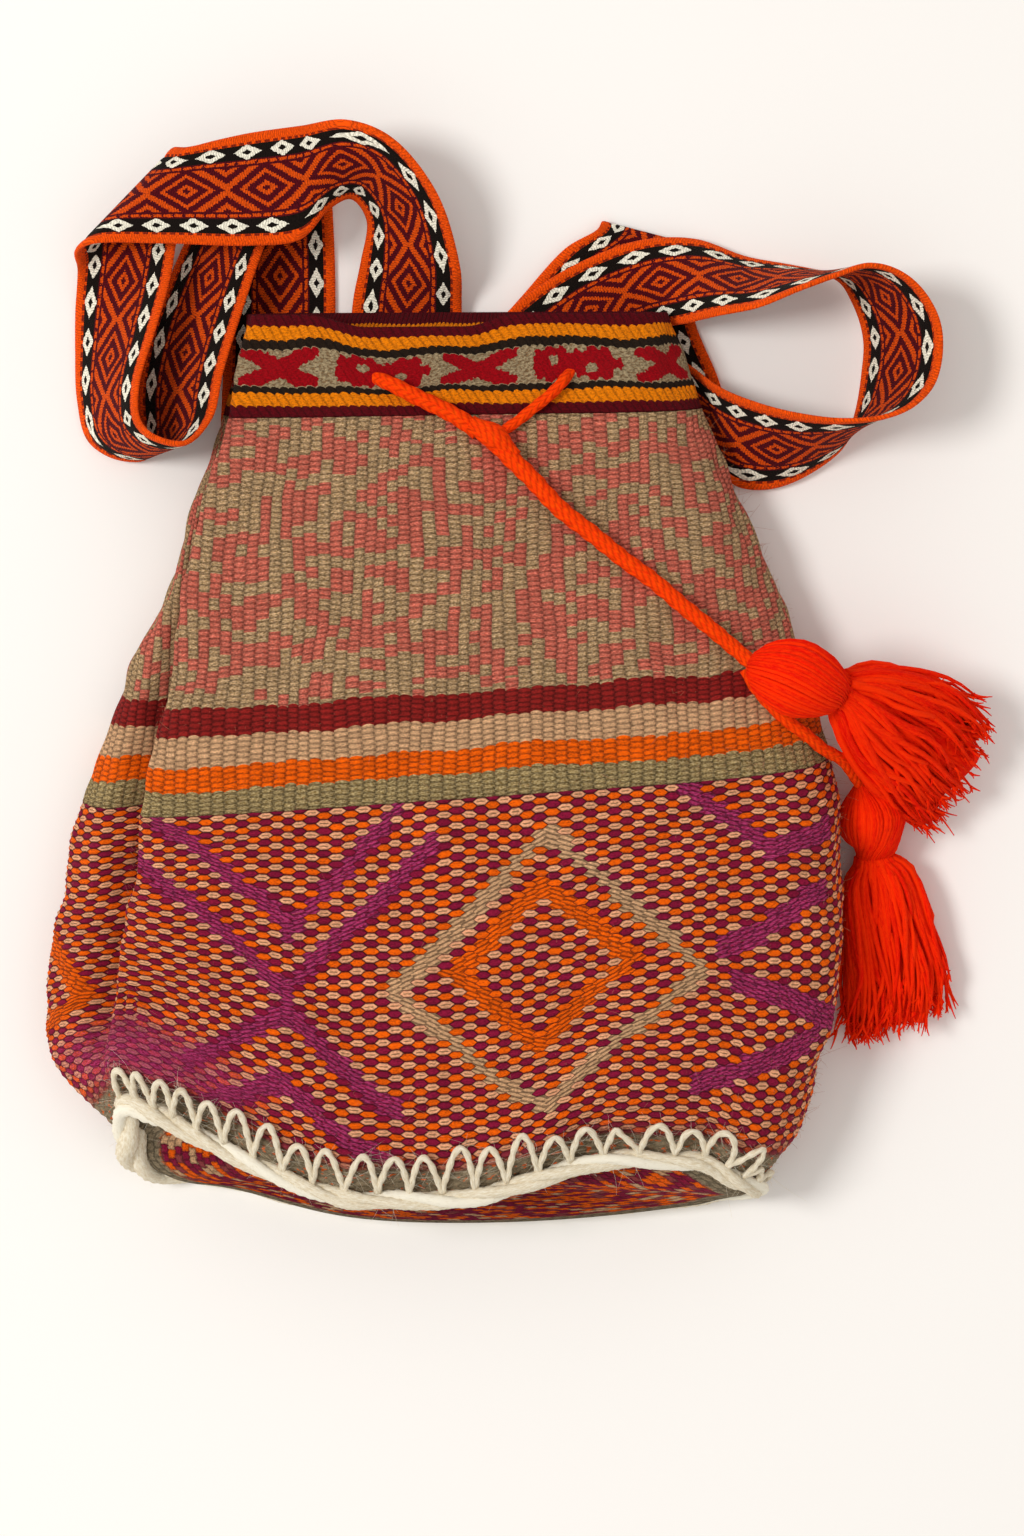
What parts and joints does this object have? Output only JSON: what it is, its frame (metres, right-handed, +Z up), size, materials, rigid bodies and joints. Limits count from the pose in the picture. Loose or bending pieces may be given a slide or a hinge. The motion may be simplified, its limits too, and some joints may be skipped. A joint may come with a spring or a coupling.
{
  "type": "woven wool backpack",
  "caption": "Soft hand-woven wool backpack lying on its back, with a patterned mouth band, a knotted drawstring with tassels, two woven straps and a blanket-stitched base.",
  "frame": {"origin": "centre of the flat middle of the bag's back, on the surface it lies on", "axes": "+Y from the foot toward the mouth, +Z up out of the front face, +X to the right seen from the front"},
  "size_m": [0.4443, 0.5106, 0.0832],
  "materials": {
    "bag_wool": "thick weft-faced wool weave in pink, grey-green, purple, orange and beige",
    "band_wool": "tight wool weave in maroon, yellow, black, red and cream",
    "base_wool": "plain striped wool weave",
    "stitch_yarn": "loosely spun cream wool yarn",
    "strap_wool": "firm wool band weave in orange, maroon, black and white",
    "cord_wool": "twisted vivid orange wool"
  },
  "bodies": {
    "root": {"body_cloth": "bag_wool", "mouth_band": "band_wool", "base_panel": "base_wool", "seam_chain": "stitch_yarn", "seam_arches": "stitch_yarn", "left_strap": "strap_wool", "right_strap": "strap_wool", "drawstring": "cord_wool", "drawstring_knot": "cord_wool", "drawstring_tail": "cord_wool", "drawstring_tail_end": "cord_wool", "upper_tassel": "cord_wool", "upper_tassel_binding": "cord_wool", "lower_tassel": "cord_wool", "lower_tassel_binding": "cord_wool"}
  },
  "joints": []
}
